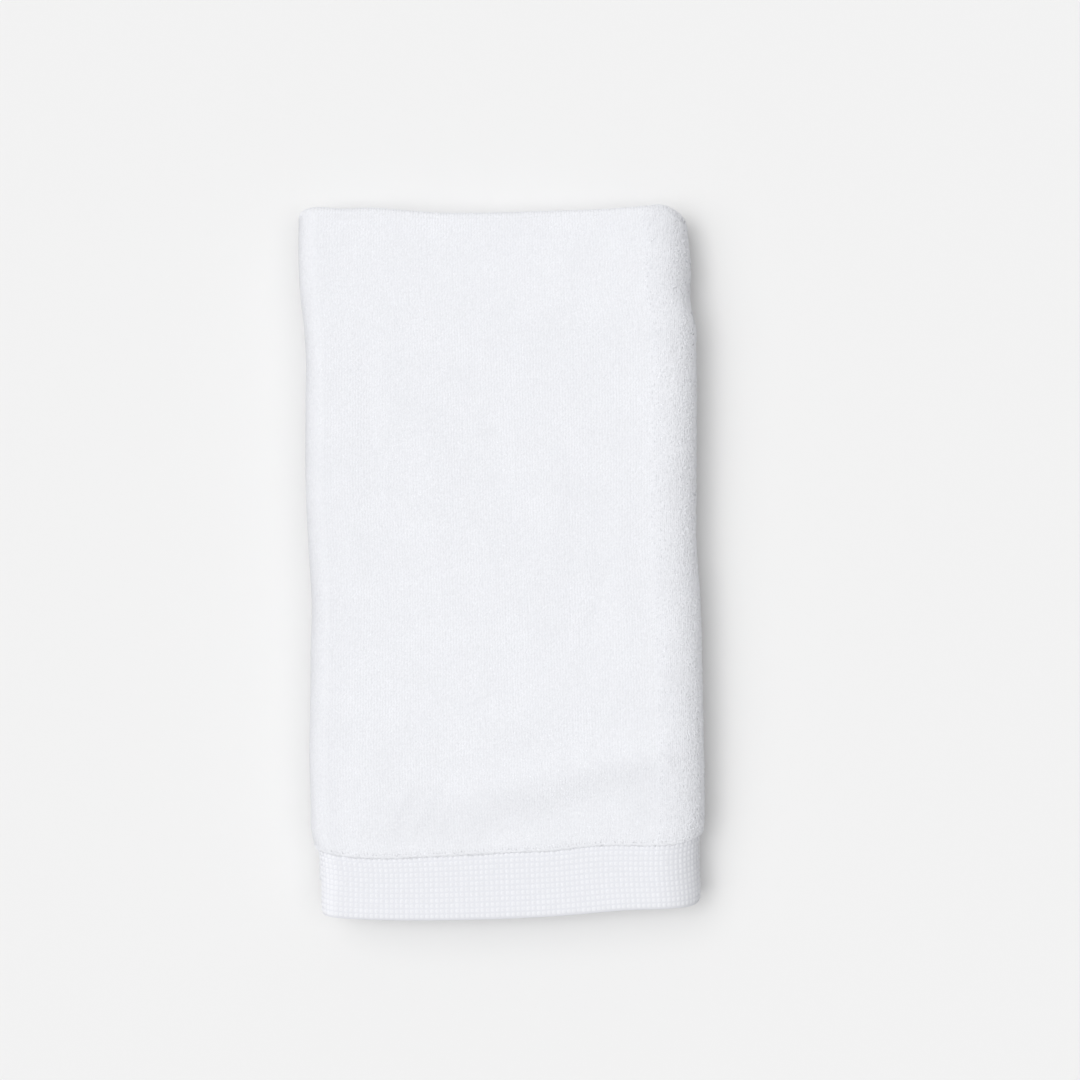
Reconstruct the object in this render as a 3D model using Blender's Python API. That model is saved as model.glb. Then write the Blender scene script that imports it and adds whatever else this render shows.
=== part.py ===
"""A white terry bath towel with a woven border, folded in thirds both ways and lying flat.

The cloth is first folded across into three plies, the bordered hem ending on top at the front.
The strip is then folded lengthwise, its left third turned under first and its right third under
both, which stacks it three levels high. The towel lies along Y with the border at the front,
on the plane z = 0, with the origin under the middle of its box.
"""

import math

import bmesh
import bpy
from mathutils import Matrix, Vector

MM = 0.001

# The cloth, laid open
TOWEL_WIDTH = 762 * MM
TOWEL_LENGTH = 1422 * MM
TERRY_THICK = 4.6 * MM
BORDER_THICK = 2.0 * MM
BORDER_LENGTH = 48 * MM
PILE_EDGE = 2.5 * MM

# The folded towel, before it settles
FOLDED_WIDTH = 277 * MM
FOLDED_LENGTH = 497 * MM
PLY_PITCH = 5.2 * MM
LEVEL_PITCH = 16 * MM
HEM_OVERHANG = 14 * MM
BORDER_SINK = 0.8 * MM
RIGHT_FOLD_REACH = 26 * MM
FLAP_CLEARANCE = 4 * MM

# Worked out from the sizes above
HALF_TERRY = TERRY_THICK / 2
HALF_BORDER = BORDER_THICK / 2
PLY_TURN = PLY_PITCH / 2
HALF_STRIP = PLY_PITCH + HALF_TERRY
BOTTOM_LEVEL = HALF_STRIP
MIDDLE_LEVEL = BOTTOM_LEVEL + LEVEL_PITCH
TOP_LEVEL = MIDDLE_LEVEL + LEVEL_PITCH
LEFT_TURN = LEVEL_PITCH / 2
RIGHT_RISE = LEVEL_PITCH
LEFT_FOLD_X = HALF_STRIP + LEFT_TURN - FOLDED_WIDTH / 2
RIGHT_FOLD_X = FOLDED_WIDTH / 2 - RIGHT_FOLD_REACH - HALF_STRIP
HEM_Y = -FOLDED_LENGTH / 2
PILE_Y = HEM_Y + BORDER_LENGTH
BACK_FOLD_Y = FOLDED_LENGTH / 2 - HALF_TERRY - PLY_TURN
FRONT_FOLD_Y = HEM_Y + HEM_OVERHANG + HALF_TERRY + PLY_TURN
OUTER_PLIES = 2 * BACK_FOLD_Y - HEM_Y - FRONT_FOLD_Y + 2 * math.pi * PLY_TURN
INNER_HEM_Y = FRONT_FOLD_Y + TOWEL_LENGTH - OUTER_PLIES
INNER_PILE_Y = INNER_HEM_Y - BORDER_LENGTH

# Steps that the mesh takes over each stretch of cloth
TOP_STEPS = 14
FLAP_STEPS = 5
LEFT_FOLD_STEPS = 7
RIGHT_FOLD_STEPS = 9
PLY_FOLD_STEPS = 6
BORDER_STEPS = 3
RUNGS = 17

# Where the sides lie, front to back: (y, left side's x, right side's x), in mm
SIDE_LINES = (
    (-250, -136.6, 136.4),
    (-203, -137.2, 135.9),
    (-193, -139.4, 138.0),
    (-168, -139.7, 139.1),
    (-140, -139.9, 139.3),
    (-95, -138.2, 139.4),
    (-60, -137.1, 139.6),
    (-25, -135.5, 139.1),
    (10, -136.6, 137.6),
    (48, -137.7, 138.4),
    (110, -136.5, 140.1),
    (152, -135.4, 140.8),
    (168, -136.2, 141.0),
    (185, -138.0, 137.9),
    (215, -139.2, 138.4),
    (250, -138.4, 136.0),
)

# Where the ends and the pile's edge lie, left to right: (x, hem's y, back fold's y, pile's y), in mm
END_LINES = (
    (-140, -244.5, 252.0, -196.0),
    (-128, -246.4, 254.1, -199.5),
    (-105, -248.4, 252.6, -202.9),
    (-90, -249.1, 253.0, -203.7),
    (-65, -249.9, 250.8, -203.4),
    (-44, -250.2, 248.6, -203.0),
    (-9, -250.2, 247.4, -201.8),
    (35, -249.1, 247.5, -200.7),
    (58, -247.8, 247.6, -198.6),
    (76, -246.6, 247.8, -198.3),
    (110, -246.2, 249.3, -199.4),
    (122, -246.2, 250.0, -198.6),
    (132, -246.0, 245.8, -196.5),
    (141, -244.5, 238.5, -195.5),
)

# Soft swells of the top ply: (x, y, length, width, turn in degrees, rise), in mm
SWELLS = (
    (20, -108, 75, 17, 13, 1.7),
    (48, -186, 45, 11, 8, 1.3),
    (-105, -165, 26, 14, 60, 0.9),
    (-48, 72, 62, 15, 92, 0.9),
    (38, 30, 42, 14, 85, 0.8),
    (86, -15, 60, 14, 88, 0.9),
    (-108, 10, 90, 12, 90, 0.7),
    (0, 30, 170, 75, 90, 0.8),
)

# How it settles
FRONT_SAG = 0.05
CORNER_SAG = 0.05
SAG_LENGTH = 90 * MM
LOWER_LAG = 5 * MM
FADE = 24 * MM

# How far what is above sinks at the back, past the inner ply's end: (z from, z to, drop), in mm
BACK_DROPS = (
    (9.8, 16.0, 2.4),
    (25.8, 37.2, 4.0),
)


def smooth(value, start, end):
    """0 up to start and 1 from end on, with an even ease between them."""
    part = min(max((value - start) / (end - start), 0.0), 1.0)
    return part * part * (3 - 2 * part)


def slope_at(table, k, column):
    """How steeply a column of a table runs at its row k, from the rows on both sides."""
    before = table[max(k - 1, 0)]
    after = table[min(k + 1, len(table) - 1)]
    return (after[column] - before[column]) / (after[0] - before[0])


def read_line(table, at, column):
    """A smooth line through a column of a table, read at any place."""
    at = min(max(at / MM, table[0][0]), table[-1][0])
    k = max(k for k in range(len(table) - 1) if k == 0 or table[k][0] < at)
    run = table[k + 1][0] - table[k][0]
    part = (at - table[k][0]) / run
    rest = 1 - part
    start = table[k][column] * (1 + 2 * part) + slope_at(table, k, column) * run * part
    end = table[k + 1][column] * (1 + 2 * rest) - slope_at(table, k + 1, column) * run * rest
    return (start * rest * rest + end * part * part) * MM


def section_rows():
    """The back-and-forth section of the three plies, as (y, offset, normal y, normal offset,
    half thickness) from the border's hem to the inner hem. The offset is from the middle ply."""
    rungs = [PILE_Y + PILE_EDGE + (BACK_FOLD_Y - PILE_Y - PILE_EDGE) * k / RUNGS for k in range(RUNGS + 1)]
    rows = []
    for k in range(BORDER_STEPS + 1):
        part = k / BORDER_STEPS
        sink = BORDER_SINK * (1 - part)
        rows.append((HEM_Y + BORDER_LENGTH * part, PLY_PITCH - sink, 0, 1, HALF_BORDER))
    rows += [(y, PLY_PITCH, 0, 1, HALF_TERRY) for y in rungs]
    for k in range(1, PLY_FOLD_STEPS):
        turn = math.pi * k / PLY_FOLD_STEPS
        y = BACK_FOLD_Y + PLY_TURN * math.sin(turn)
        offset = PLY_TURN + PLY_TURN * math.cos(turn)
        rows.append((y, offset, math.sin(turn), math.cos(turn), HALF_TERRY))
    rows += [(y, 0, 0, -1, HALF_TERRY) for y in reversed(rungs)]
    for k in range(PLY_FOLD_STEPS + 1):
        turn = math.pi * k / PLY_FOLD_STEPS
        y = FRONT_FOLD_Y - PLY_TURN * math.sin(turn)
        offset = -PLY_TURN + PLY_TURN * math.cos(turn)
        rows.append((y, offset, math.sin(turn), -math.cos(turn), HALF_TERRY))
    rows += [(y, -PLY_PITCH, 0, 1, HALF_TERRY) for y in rungs if y < INNER_PILE_Y - PILE_EDGE]
    rows.append((INNER_PILE_Y - PILE_EDGE, -PLY_PITCH, 0, 1, HALF_TERRY))
    rows.append((INNER_PILE_Y, -PLY_PITCH, 0, 1, HALF_BORDER))
    rows.append((INNER_HEM_Y, -PLY_PITCH, 0, 1, HALF_BORDER))
    return rows


def right_fold_point(turn):
    """A point of the right fold's half ellipse whose outward normal has turned so far from up."""
    across = RIGHT_FOLD_REACH * math.sin(turn)
    down = RIGHT_RISE * math.cos(turn)
    size = math.hypot(across, down)
    x = RIGHT_FOLD_X + RIGHT_FOLD_REACH * across / size
    z = MIDDLE_LEVEL + RIGHT_RISE * down / size
    return x, z


def right_fold_length():
    """The length of the right fold's half ellipse, along the middle ply."""
    steps = 200
    points = [right_fold_point(math.pi * k / steps) for k in range(steps + 1)]
    return sum(math.dist(a, b) for a, b in zip(points, points[1:]))


def flap_lengths(offset):
    """The flat lengths of the left and right flaps at an offset from the middle ply. An outer
    ply spends more cloth in the folds, so its selvedges end further in."""
    inner_ply_end = RIGHT_FOLD_X + FLAP_CLEARANCE
    left = inner_ply_end - LEFT_FOLD_X - math.pi * (PLY_PITCH + offset)
    top = RIGHT_FOLD_X - LEFT_FOLD_X
    folds = math.pi * (LEFT_TURN + offset) + right_fold_length() + math.pi * offset
    return left, TOWEL_WIDTH - top - folds - left


def section_columns(left_flap, right_flap):
    """The lengthwise folds from the left flap's selvedge to the right flap's, as (x, z, normal x,
    normal z) along the middle of the strip, for flaps of these lengths."""
    columns = []
    for k in range(FLAP_STEPS):
        x = LEFT_FOLD_X + left_flap * (1 - k / FLAP_STEPS)
        columns.append((x, MIDDLE_LEVEL, 0, -1))
    for k in range(LEFT_FOLD_STEPS):
        turn = math.pi * (1 - k / LEFT_FOLD_STEPS)
        x = LEFT_FOLD_X - LEFT_TURN * math.sin(turn)
        z = MIDDLE_LEVEL + LEFT_TURN + LEFT_TURN * math.cos(turn)
        columns.append((x, z, -math.sin(turn), math.cos(turn)))
    for k in range(TOP_STEPS):
        x = LEFT_FOLD_X + (RIGHT_FOLD_X - LEFT_FOLD_X) * k / TOP_STEPS
        columns.append((x, TOP_LEVEL, 0, 1))
    for k in range(RIGHT_FOLD_STEPS):
        turn = math.pi * k / RIGHT_FOLD_STEPS
        x, z = right_fold_point(turn)
        columns.append((x, z, math.sin(turn), math.cos(turn)))
    for k in range(FLAP_STEPS + 1):
        columns.append((RIGHT_FOLD_X - right_flap * k / FLAP_STEPS, BOTTOM_LEVEL, 0, -1))
    return columns


def swell(x, y):
    """How far the top ply stands up at a place, none of it near the folds."""
    rise = 0.0
    for centre_x, centre_y, length, width, turn, height in SWELLS:
        turn = math.radians(turn)
        east = x / MM - centre_x
        north = y / MM - centre_y
        along = (east * math.cos(turn) + north * math.sin(turn)) / length
        beside = (north * math.cos(turn) - east * math.sin(turn)) / width
        rise += height * MM * math.exp(-along * along - beside * beside)
    sides = smooth(x, LEFT_FOLD_X, LEFT_FOLD_X + FADE) * smooth(-x, -RIGHT_FOLD_X, FADE - RIGHT_FOLD_X)
    return rise * sides * smooth(-y, -BACK_FOLD_Y, FADE - BACK_FOLD_Y)


def settle(x, y, z):
    """Moves a point of the neatly folded towel to where the soft, uneven one has it. The resting
    plane stays flat."""
    back = smooth(y, INNER_PILE_Y, BACK_FOLD_Y)
    drop = sum(fall * MM * smooth(z, low * MM, high * MM) for low, high, fall in BACK_DROPS)
    rise = swell(x, y) if z > TOP_LEVEL + PLY_TURN else 0.0
    left_out = read_line(SIDE_LINES, y, 1) + FOLDED_WIDTH / 2
    right_out = read_line(SIDE_LINES, y, 2) - FOLDED_WIDTH / 2
    hem_out = read_line(END_LINES, x, 1) - HEM_Y
    back_out = read_line(END_LINES, x, 2) - FOLDED_LENGTH / 2
    pile_out = read_line(END_LINES, x, 3) - PILE_Y
    border_part = min(max((PILE_Y - y) / BORDER_LENGTH, 0.0), 1.0)
    front = smooth(-y, 0, -PILE_Y)
    lag = LOWER_LAG * front * (1 - smooth(z, 0, TOP_LEVEL))
    sag = (FRONT_SAG + CORNER_SAG * (2 * x / FOLDED_WIDTH) ** 4) * smooth(-y, SAG_LENGTH, -HEM_Y)
    settled_x = x + left_out * smooth(-x, 0, -LEFT_FOLD_X) + right_out * smooth(x, 0, RIGHT_FOLD_X)
    front_out = pile_out * front * (1 - border_part) + hem_out * border_part
    settled_y = y + front_out + back_out * smooth(y, 0, BACK_FOLD_Y) + lag
    return Vector((settled_x, settled_y, (z + rise - drop * back) * (1 - sag)))


def cut_cloth(cloth, columns, rows):
    """A flat slab of quads on both faces and round its rim, one unit to a step, so that a point's
    coordinates are its column, its row and its face."""
    place = Matrix.Diagonal((columns, rows, 1, 1)) @ Matrix.Translation((0.5, 0.5, 0))
    bmesh.ops.create_grid(cloth, x_segments=columns, y_segments=rows, size=0.5, matrix=place)
    raised = bmesh.ops.extrude_face_region(cloth, geom=cloth.faces[:])["geom"]
    lifted = [item for item in raised if isinstance(item, bmesh.types.BMVert)]
    bmesh.ops.translate(cloth, verts=lifted, vec=(0, 0, 1))
    bmesh.ops.recalc_face_normals(cloth, faces=cloth.faces[:])


def fold_cloth(cloth, rows):
    """Takes every point of the slab to its place in the folded towel."""
    lines = [section_columns(*flap_lengths(offset)) for _, offset, _, _, _ in rows]
    for vert in cloth.verts:
        column, row, face = (round(value) for value in vert.co)
        y, offset, normal_y, normal_offset, half = rows[row]
        x, z, out_x, out_z = lines[row][column]
        side = half if face else -half
        out = offset + side * normal_offset
        vert.co = settle(x + out_x * out, y + side * normal_y, z + out_z * out)


def centre_cloth(cloth):
    """Puts the origin under the middle of the towel's box."""
    xs = [vert.co.x for vert in cloth.verts]
    ys = [vert.co.y for vert in cloth.verts]
    middle = Vector(((min(xs) + max(xs)) / 2, (min(ys) + max(ys)) / 2, 0))
    bmesh.ops.translate(cloth, verts=cloth.verts[:], vec=-middle)


def terry_cotton():
    """White looped cotton: matt, a little cool."""
    material = bpy.data.materials.new("white_cotton_terry")
    material.use_nodes = True
    finish = material.node_tree.nodes["Principled BSDF"]
    finish.inputs["Base Color"].default_value = (0.84, 0.85, 0.88, 1.0)
    finish.inputs["Roughness"].default_value = 0.95
    finish.inputs["Metallic"].default_value = 0.0
    return material


def make_towel(collection):
    """The whole towel, hems, selvedges and border in one cloth."""
    rows = section_rows()
    columns = 2 * FLAP_STEPS + LEFT_FOLD_STEPS + TOP_STEPS + RIGHT_FOLD_STEPS
    cloth = bmesh.new()
    cut_cloth(cloth, columns, len(rows) - 1)
    fold_cloth(cloth, rows)
    centre_cloth(cloth)
    mesh = bpy.data.meshes.new("bath_towel")
    cloth.to_mesh(mesh)
    cloth.free()
    mesh.shade_smooth()
    mesh.materials.append(terry_cotton())
    collection.objects.link(bpy.data.objects.new("bath_towel", mesh))


def main():
    for old in list(bpy.data.objects):
        bpy.data.objects.remove(old, do_unlink=True)
    collection = bpy.data.collections.new("folded_bath_towel")
    bpy.context.scene.collection.children.link(collection)
    make_towel(collection)


main()
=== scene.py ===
"""The looks of the folded bath towel: its cloth, the looped pile, the woven border and the studio.

The cloth is worked out as it was folded. Across the strip it runs from the left flap round the
left fold, over the top and round the right fold to the right flap. Along the strip it runs from
the border over the top ply, the back fold, the middle ply and the front fold to the inner ply.
"""

import math

import bpy
import numpy as np
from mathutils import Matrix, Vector


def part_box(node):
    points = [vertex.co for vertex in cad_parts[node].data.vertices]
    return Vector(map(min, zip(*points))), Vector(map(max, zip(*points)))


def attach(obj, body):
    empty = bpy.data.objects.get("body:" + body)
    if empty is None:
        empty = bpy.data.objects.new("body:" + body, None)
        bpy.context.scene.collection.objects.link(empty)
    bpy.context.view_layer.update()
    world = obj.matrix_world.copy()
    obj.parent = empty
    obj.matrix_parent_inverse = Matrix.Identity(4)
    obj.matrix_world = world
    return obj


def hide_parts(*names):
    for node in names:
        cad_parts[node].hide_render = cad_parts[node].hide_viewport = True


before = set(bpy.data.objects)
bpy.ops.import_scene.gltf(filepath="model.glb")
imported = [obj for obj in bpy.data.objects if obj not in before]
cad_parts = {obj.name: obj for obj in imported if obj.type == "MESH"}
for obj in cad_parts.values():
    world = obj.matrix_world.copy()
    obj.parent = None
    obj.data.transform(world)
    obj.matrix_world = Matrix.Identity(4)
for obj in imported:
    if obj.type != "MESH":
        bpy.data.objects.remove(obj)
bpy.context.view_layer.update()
MM = 0.001
NODE = "bath_towel"

# The cloth and its folds, as the solid has them
TOWEL_WIDTH = 762 * MM
TOWEL_LENGTH = 1422 * MM
TERRY_THICK = 4.6 * MM
BORDER_LENGTH = 48 * MM
FOLDED_WIDTH = 277 * MM
FOLDED_LENGTH = 497 * MM
PLY_PITCH = 5.2 * MM
LEVEL_PITCH = 16 * MM
HEM_OVERHANG = 14 * MM
BORDER_SINK = 0.8 * MM
RIGHT_FOLD_REACH = 26 * MM
FLAP_CLEARANCE = 4 * MM

# Worked out from the sizes above
HALF_TERRY = TERRY_THICK / 2
PLY_TURN = PLY_PITCH / 2
HALF_STRIP = PLY_PITCH + HALF_TERRY
BOTTOM_LEVEL = HALF_STRIP
MIDDLE_LEVEL = BOTTOM_LEVEL + LEVEL_PITCH
TOP_LEVEL = MIDDLE_LEVEL + LEVEL_PITCH
LEFT_TURN = LEVEL_PITCH / 2
RIGHT_RISE = LEVEL_PITCH
LEFT_FOLD_X = HALF_STRIP + LEFT_TURN - FOLDED_WIDTH / 2
RIGHT_FOLD_X = FOLDED_WIDTH / 2 - RIGHT_FOLD_REACH - HALF_STRIP
HEM_Y = -FOLDED_LENGTH / 2
PILE_Y = HEM_Y + BORDER_LENGTH
BACK_FOLD_Y = FOLDED_LENGTH / 2 - HALF_TERRY - PLY_TURN
FRONT_FOLD_Y = HEM_Y + HEM_OVERHANG + HALF_TERRY + PLY_TURN
OUTER_PLIES = 2 * BACK_FOLD_Y - HEM_Y - FRONT_FOLD_Y + 2 * math.pi * PLY_TURN
INNER_HEM_Y = FRONT_FOLD_Y + TOWEL_LENGTH - OUTER_PLIES
INNER_PILE_Y = INNER_HEM_Y - BORDER_LENGTH

# Where the sides lie, front to back: (y, left side's x, right side's x), in mm
SIDE_LINES = (
    (-250, -136.6, 136.4),
    (-203, -137.2, 135.9),
    (-193, -139.4, 138.0),
    (-168, -139.7, 139.1),
    (-140, -139.9, 139.3),
    (-95, -138.2, 139.4),
    (-60, -137.1, 139.6),
    (-25, -135.5, 139.1),
    (10, -136.6, 137.6),
    (48, -137.7, 138.4),
    (110, -136.5, 140.1),
    (152, -135.4, 140.8),
    (168, -136.2, 141.0),
    (185, -138.0, 137.9),
    (215, -139.2, 138.4),
    (250, -138.4, 136.0),
)

# Where the ends and the pile's edge lie, left to right: (x, hem's y, back fold's y, pile's y), in mm
END_LINES = (
    (-140, -244.5, 252.0, -196.0),
    (-128, -246.4, 254.1, -199.5),
    (-105, -248.4, 252.6, -202.9),
    (-90, -249.1, 253.0, -203.7),
    (-65, -249.9, 250.8, -203.4),
    (-44, -250.2, 248.6, -203.0),
    (-9, -250.2, 247.4, -201.8),
    (35, -249.1, 247.5, -200.7),
    (58, -247.8, 247.6, -198.6),
    (76, -246.6, 247.8, -198.3),
    (110, -246.2, 249.3, -199.4),
    (122, -246.2, 250.0, -198.6),
    (132, -246.0, 245.8, -196.5),
    (141, -244.5, 238.5, -195.5),
)

# Soft swells of the top ply: (x, y, length, width, turn in degrees, rise), in mm
SWELLS = (
    (20, -108, 75, 17, 13, 1.7),
    (48, -186, 45, 11, 8, 1.3),
    (-105, -165, 26, 14, 60, 0.9),
    (-48, 72, 62, 15, 92, 0.9),
    (38, 30, 42, 14, 85, 0.8),
    (86, -15, 60, 14, 88, 0.9),
    (-108, 10, 90, 12, 90, 0.7),
    (0, 30, 170, 75, 90, 0.8),
)

# Creases of the top strip, too shallow for the solid, in the same columns: ridges rise and
# troughs fall
CREASES = (
    (29, -151, 66, 14, 11, 3.4),
    (100, -139, 34, 12, 8, 1.6),
    (32, -180, 64, 13, 9, -1.5),
    (48, -186, 45, 11, 8, -0.9),
    (-70, -175, 14, 5, 62, -0.9),
    (-58, -161, 12, 4, 60, -0.6),
    (-44, -154, 12, 4, 55, -0.6),
    (-4, 88, 14, 5, 0, -0.6),
    (-4, 58, 22, 9, 90, -0.5),
    (64, -36, 36, 7, 78, -0.8),
    (-93, 116, 40, 8, 92, -0.8),
    (-94, 53, 22, 10, 90, -0.6),
    (-136, -72, 58, 8, 90, -2.2),
    (-105, 241, 16, 1.8, 2, -0.6),
    (-74, 239, 14, 1.8, -3, -0.5),
)

# Painted shade on the pile, in the same columns, the last giving how much darker its colour is
# painted there, in parts of the pile's own range of tone; a mark below nothing paints light
PAINTED_SHADE_MARKS = (
    (28, -164, 70, 14, 11, 0.5),
    (80, -150, 34, 10, 5, 0.35),
    (22, -182, 120, 16, 3, 0.3),
    (-66, -177, 24, 12, 50, 0.45),
    (75, -178, 10, 8, 0, -0.4),
    (94, -166, 32, 13, 90, 0.35),
    (-130, 20, 500, 7, 90, 0.85),
    (-122, -62, 55, 8, 90, 0.2),
    (-120, -170, 40, 8, 90, 0.2),
    (-8, 79, 24, 8, 90, 0.2),
    (-23, 127, 12, 3, 120, 0.3),
    (-8, 92, 8, 2.5, 20, 0.35),
    (-6, 58, 10, 2.5, 100, 0.35),
    (72, -7, 14, 3, 80, 0.3),
    (62, -35, 10, 3, 60, 0.3),
    (-18, -95, 14, 3, 30, 0.3),
    (-107, -156, 9, 3, 70, 0.4),
    (-70, -164, 14, 3, 62, 0.5),
    (-56, -173, 14, 3, 60, 0.45),
    (-44, -186, 10, 3, 80, 0.4),
)

# How much of its height the front loses, how much more its corners lose, and from how far back
FRONT_SAG = 0.05
CORNER_SAG = 0.05
SAG_LENGTH = 90 * MM

# How far the lower plies lie back from the hem, how far past the pile's edge they keep to its side
# line, and over what width the swells fade out beside the folds
LOWER_LAG = 5 * MM
LOWER_REACH = 20 * MM
FADE = 24 * MM

# How far what is above sinks at the back, past the inner ply's end: (z from, z to, drop), in mm
BACK_DROPS = (
    (9.8, 16.0, 2.4),
    (25.8, 37.2, 4.0),
)

# Heights over the middle of the cloth: the loops' feet, the yarn between them, the same where the
# right fold opens the pile, the loops' feet at the front folds, the yarn where the pile is pressed
# flat, the border's weave, its squares' feet and the border's back
GROUND = 1.3 * MM
BED = 1.85 * MM
OPEN_BED = 2.15 * MM
NOSE_GROUND = 1.6 * MM
MATTED = 2.2 * MM
WOVEN = 0.3 * MM
SUNK = -0.15 * MM
LINING = 1.0 * MM

# How the cloth's free edges are rounded: the last part of a flap and of the border, how much of
# the thickness is left at the very edge, and how far and over what part of it the border droops
FLAP_END = 0.005
HEM_END = 0.006
EDGE_THICKNESS = 0.35
HEM_DROOP = 0.8 * MM
HEM_ROLL = 0.12

# The loops round a selvedge: their turns up and down from it, how far out and how far apart
SELVEDGE_TURNS = (-66, -22, 22, 66)
SELVEDGE_REACH = 1.1 * MM
SELVEDGE_ALONG = 1.75 * MM

# The loops round the pile's edge: their turns forward from upright, and how far apart
EDGE_TURNS = (10, 30, 50, 70)
EDGE_ACROSS = 1.3 * MM

# The steps that the cloth's mesh takes over each stretch
ACROSS_STEPS = (
    ("left flap", 10),
    ("left fold", 18),
    ("top", 57),
    ("right fold", 22),
    ("right flap", 10),
)
ALONG_STEPS = (
    ("border", 12),
    ("top ply", 110),
    ("back fold", 8),
    ("middle ply", 26),
    ("front fold", 8),
    ("inner ply", 26),
)

# How much of the border is past before the pile's ground steps up from it, and over which part of
# the right fold its pile gets pressed flat
PILE_STEP = 0.985
PRESSED = (0.72, 0.9)

# How far apart the loops stand, on the flat and where the right fold opens the pile, drawn coarser
# than the 1 mm of real terry so that they show, and how far they stray, in parts of that
LOOP_ACROSS = 1.95 * MM
OPEN_ACROSS = 1.5 * MM
LOOP_ALONG = 1.4 * MM
STRAY_ACROSS = 0.4
STRAY_ALONG = 0.6

# Where no loop stands: past this part of a stretch, closer to the floor than this, or facing down
# by more than this
LAST_PART = 0.998
FLOOR_ROOM = 1.6 * MM
FACING_DOWN = -0.6

# The loops' shapes: on the flat, where the pile is opened, round the selvedges, and those few that
# stand out as curls over part of the right fold
FLAT_LOOPS = {"Height": 0.5 * MM, "Lean": 0.15, "Turn": 0.6, "Twist": 0.25 * MM}
OPEN_LOOPS = {
    "Height": 0.75 * MM,
    "Root": 1.2 * MM,
    "Lean": 0.2,
    "Turn": 0.8,
    "Twist": 0.4 * MM,
    "Span": 2.7 * MM,
}
SELVEDGE_LOOPS = {
    "Height": 0.4 * MM,
    "Root": 0.7 * MM,
    "Lean": 0.08,
    "Turn": 0.25,
    "Twist": 0.1 * MM,
    "Span": 2.6 * MM,
}
CURLS = {
    "Height": 1.9 * MM,
    "Lean": 0.5,
    "Turn": 3.0,
    "Twist": 0.8 * MM,
    "Span": 2.4 * MM,
    "Root": 1.0 * MM,
    "Yarn radius": 0.5 * MM,
    "Yarn points": 4,
    "Wrap": math.tau,
}
CURL_COUNT = 1100
CURL_PARTS = (0.24, 0.75)

# How far the right fold ruffles its loops up, and between which x the flat pile gives way to the
# opened one
RUFFLE = 0.7 * MM
OPENING = (RIGHT_FOLD_X - 14 * MM, RIGHT_FOLD_X + 14 * MM)

# How soft the yarn looks: how far its shading leans to the cloth's own outward direction
SOFTNESS = 0.68
OPEN_SOFTNESS = 0.55
SQUARE_SOFTNESS = 0.58

# How far each stretch of pile lets light in from above, where it isn't nil
SKY = {
    "border_squares": 0.15,
    "pile_back_fold": 0.5,
    "pile_edge": 0.5,
    "pile_open": 0.45,
    "curls_right_fold": 0.9,
}

# The border's squares: how far apart, the rows, the bare weave below and above them, in rows, and
# the soft ribs on them
SQUARE_ACROSS = 3.64 * MM
SQUARE_ROWS = 12
BARE_AT_HEM = 0.3
BARE_AT_PILE = 0.35
RIB_SPACING = 4.4 * MM

# The most loops in one piece, and what all chance starts from
LOOPS_A_PIECE = 16000
SEED = 11

# The studio
FRAME_WIDTH = 756 * MM
CAMERA_HEIGHT = 1.5
CAMERA_AT = (27.0 * MM, 15.4 * MM)
CAMERA_ROLL = -1.4
SENSOR = 36.0
SURROUND = 0.354
LAMP_SPREAD = 40

# The soft light's parts: (tilt from overhead, degrees round from the right, strength)
LAMPS = (
    (20, 180, 0.93),
    (40, 180, 0.63),
    (35, 135, 0.65),
    (20, 0, 0.50),
)


def ease(value, start, end):
    """0 up to start and 1 from end on, with an even ease between them."""
    part = np.clip((value - start) / (end - start), 0.0, 1.0)
    return part * part * (3 - 2 * part)


def read_line(table, at, column):
    """A smooth line through a table's rows, read at any places."""
    stops = np.array([row[0] for row in table]) * MM
    values = np.array([row[column] for row in table]) * MM
    slopes = np.gradient(values, stops)
    at = np.clip(at, stops[0], stops[-1])
    k = np.clip(np.searchsorted(stops, at) - 1, 0, len(stops) - 2)
    run = stops[k + 1] - stops[k]
    t = (at - stops[k]) / run
    from_start = (1 + 2 * t) * (1 - t) ** 2 * values[k] + t * (1 - t) ** 2 * run * slopes[k]
    from_end = t * t * (3 - 2 * t) * values[k + 1] + t * t * (t - 1) * run * slopes[k + 1]
    return from_start + from_end


def right_fold_table():
    """Turns of the right fold's half ellipse and the share of the outer ply used up by each."""
    turn = np.linspace(0, math.pi, 400)
    x, z = right_fold_point(turn)
    length = np.concatenate(([0], np.cumsum(np.hypot(np.diff(x), np.diff(z)))))
    outer = length + PLY_PITCH * turn
    return turn, outer / outer[-1], length[-1]


def right_fold_point(turn):
    """Where the right fold is when its outward normal has turned so far from up."""
    across = RIGHT_FOLD_REACH * np.sin(turn)
    down = RIGHT_RISE * np.cos(turn)
    size = np.hypot(across, down)
    return RIGHT_FOLD_X + RIGHT_FOLD_REACH * across / size, MIDDLE_LEVEL + RIGHT_RISE * down / size


RIGHT_TURNS, RIGHT_SHARES, RIGHT_LENGTH = right_fold_table()


def flap_lengths(offset):
    """The left and right flaps' flat lengths at an offset from the middle ply."""
    left = RIGHT_FOLD_X + FLAP_CLEARANCE - LEFT_FOLD_X - math.pi * (PLY_PITCH + offset)
    folds = math.pi * (LEFT_TURN + offset) + RIGHT_LENGTH + math.pi * offset
    return left, TOWEL_WIDTH - (RIGHT_FOLD_X - LEFT_FOLD_X) - folds - left


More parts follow.
